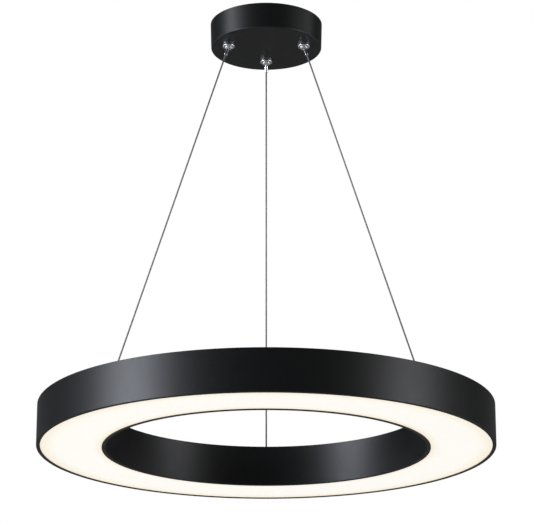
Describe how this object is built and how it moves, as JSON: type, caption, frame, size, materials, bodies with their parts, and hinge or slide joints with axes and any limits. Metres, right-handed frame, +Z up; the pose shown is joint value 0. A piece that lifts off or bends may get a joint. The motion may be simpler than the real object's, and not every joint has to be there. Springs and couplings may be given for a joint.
{
  "type": "pendant light",
  "caption": "Flat luminous ring pendant in satin black, hung on thin wires from a round ceiling cup with height-adjusting swivel grips.",
  "frame": {"origin": "centre of the ceiling bracket's upper face, which lies on the ceiling", "axes": "+Z up into the ceiling, -Y towards the viewer, +X along the bracket; the ring hangs at its lowest"},
  "size_m": [0.6, 0.6, 0.603],
  "materials": {
    "black_paint": "satin black powder coat",
    "zinc_steel": "zinc plated",
    "black_screw": "black zinc",
    "brass": "plain",
    "white_housing": "moulded",
    "foam_pad": "foam",
    "lead_cover": "silicone cover",
    "wire_cover": "stranded wire in a clear jacket",
    "chrome": "polished chrome plate",
    "hard_steel": "ground",
    "opal_diffuser": "opal",
    "board": "white solder resist",
    "light_chip": "phosphor"
  },
  "bodies": {
    "ceiling_fixture": {"ceiling_bracket": "zinc_steel", "canopy_cup": "black_paint", "canopy_side_screws": "black_screw", "earth_screw": "brass", "driver_case": "white_housing", "driver_foam_pad": "foam_pad", "terminal_block": "white_housing", "terminal_screws": "zinc_steel", "supply_leads": "lead_cover", "wire_tails": "wire_cover", "grip_lock_nuts": "chrome", "grip_retaining_rings": "chrome", "grip_socket_left": "chrome", "grip_socket_right": "chrome", "grip_socket_far": "chrome", "wire_left": "wire_cover", "wire_right": "wire_cover", "wire_far": "wire_cover"},
    "ring": {"outer_band": "black_paint", "inner_band": "black_paint", "outer_seam_plate": "zinc_steel", "inner_seam_plate": "zinc_steel", "ring_top_plate": "black_paint", "top_plate_screws": "black_screw", "diffuser": "opal_diffuser", "led_boards": "board", "led_chips": "light_chip", "board_screws": "zinc_steel", "board_plugs": "white_housing", "anchor_clips": "zinc_steel", "feed_lugs": "brass", "anchor_bush_left": "chrome", "anchor_bush_right": "chrome", "anchor_bush_far": "chrome"},
    "grip_left": {"grip_ball_left": "chrome", "grip_cone_left": "hard_steel", "grip_spring_left": "hard_steel", "grip_cap_left": "chrome"},
    "release_left": {"release_nose_left": "chrome", "gripping_beads_left": "hard_steel", "bead_follower_left": "brass"},
    "wire_end_left": {"anchor_ball_left": "hard_steel"},
    "grip_right": {"grip_ball_right": "chrome", "grip_cone_right": "hard_steel", "grip_spring_right": "hard_steel", "grip_cap_right": "chrome"},
    "release_right": {"release_nose_right": "chrome", "gripping_beads_right": "hard_steel", "bead_follower_right": "brass"},
    "wire_end_right": {"anchor_ball_right": "hard_steel"},
    "grip_far": {"grip_ball_far": "chrome", "grip_cone_far": "hard_steel", "grip_spring_far": "hard_steel", "grip_cap_far": "chrome"},
    "release_far": {"release_nose_far": "chrome", "gripping_beads_far": "hard_steel", "bead_follower_far": "brass"},
    "wire_end_far": {"anchor_ball_far": "hard_steel"}
  },
  "joints": [
    {"name": "ring_height", "type": "slide", "parent": "ceiling_fixture", "child": "ring", "axis": [0, 0, 1], "range_m": [0, 0.25], "deforming": ["wire_left", "wire_right", "wire_far"]},
    {"name": "grip_tilt_left", "type": "hinge", "parent": "ceiling_fixture", "child": "grip_left", "pos_m": [-0.0515, -0.02, -0.0398], "axis": [-0.5406, 0.8413, 0], "range_deg": [0, 15]},
    {"name": "wire_end_tilt_left", "type": "hinge", "parent": "ring", "child": "wire_end_left", "pos_m": [-0.20057, -0.1158, -0.5526], "axis": [-0.5406, 0.8413, 0], "range_deg": [0, 15]},
    {"name": "release_left", "type": "slide", "parent": "grip_left", "child": "release_left", "axis": [0.2748, 0.1766, 0.9452], "range_m": [0, 0.0012], "stiffness_N_per_m": 800, "springref_m": -0.002, "deforming": ["grip_spring_left"]},
    {"name": "grip_tilt_right", "type": "hinge", "parent": "ceiling_fixture", "child": "grip_right", "pos_m": [0.0515, -0.02, -0.0398], "axis": [-0.5406, -0.8413, 0], "range_deg": [0, 15]},
    {"name": "wire_end_tilt_right", "type": "hinge", "parent": "ring", "child": "wire_end_right", "pos_m": [0.20057, -0.1158, -0.5526], "axis": [-0.5406, -0.8413, 0], "range_deg": [0, 15]},
    {"name": "release_right", "type": "slide", "parent": "grip_right", "child": "release_right", "axis": [-0.2748, 0.1766, 0.9452], "range_m": [0, 0.0012], "stiffness_N_per_m": 800, "springref_m": -0.002, "deforming": ["grip_spring_right"]},
    {"name": "grip_tilt_far", "type": "hinge", "parent": "ceiling_fixture", "child": "grip_far", "pos_m": [0, 0.036, -0.0398], "axis": [1, 0, 0], "range_deg": [0, 15.8]},
    {"name": "wire_end_tilt_far", "type": "hinge", "parent": "ring", "child": "wire_end_far", "pos_m": [0, 0.2316, -0.5526], "axis": [1, 0, 0], "range_deg": [0, 15.8]},
    {"name": "release_far", "type": "slide", "parent": "grip_far", "child": "release_far", "axis": [0, -0.3564, 0.9343], "range_m": [0, 0.0012], "stiffness_N_per_m": 800, "springref_m": -0.002, "deforming": ["grip_spring_far"]}
  ],
  "couplings": [
    {"joint": "grip_tilt_left", "follows": "ring_height", "rad_per_m": 1.0422},
    {"joint": "wire_end_tilt_left", "follows": "ring_height", "rad_per_m": 1.0422},
    {"joint": "grip_tilt_right", "follows": "ring_height", "rad_per_m": 1.0422},
    {"joint": "wire_end_tilt_right", "follows": "ring_height", "rad_per_m": 1.0422},
    {"joint": "grip_tilt_far", "follows": "ring_height", "rad_per_m": 1.1018},
    {"joint": "wire_end_tilt_far", "follows": "ring_height", "rad_per_m": 1.1018}
  ]
}
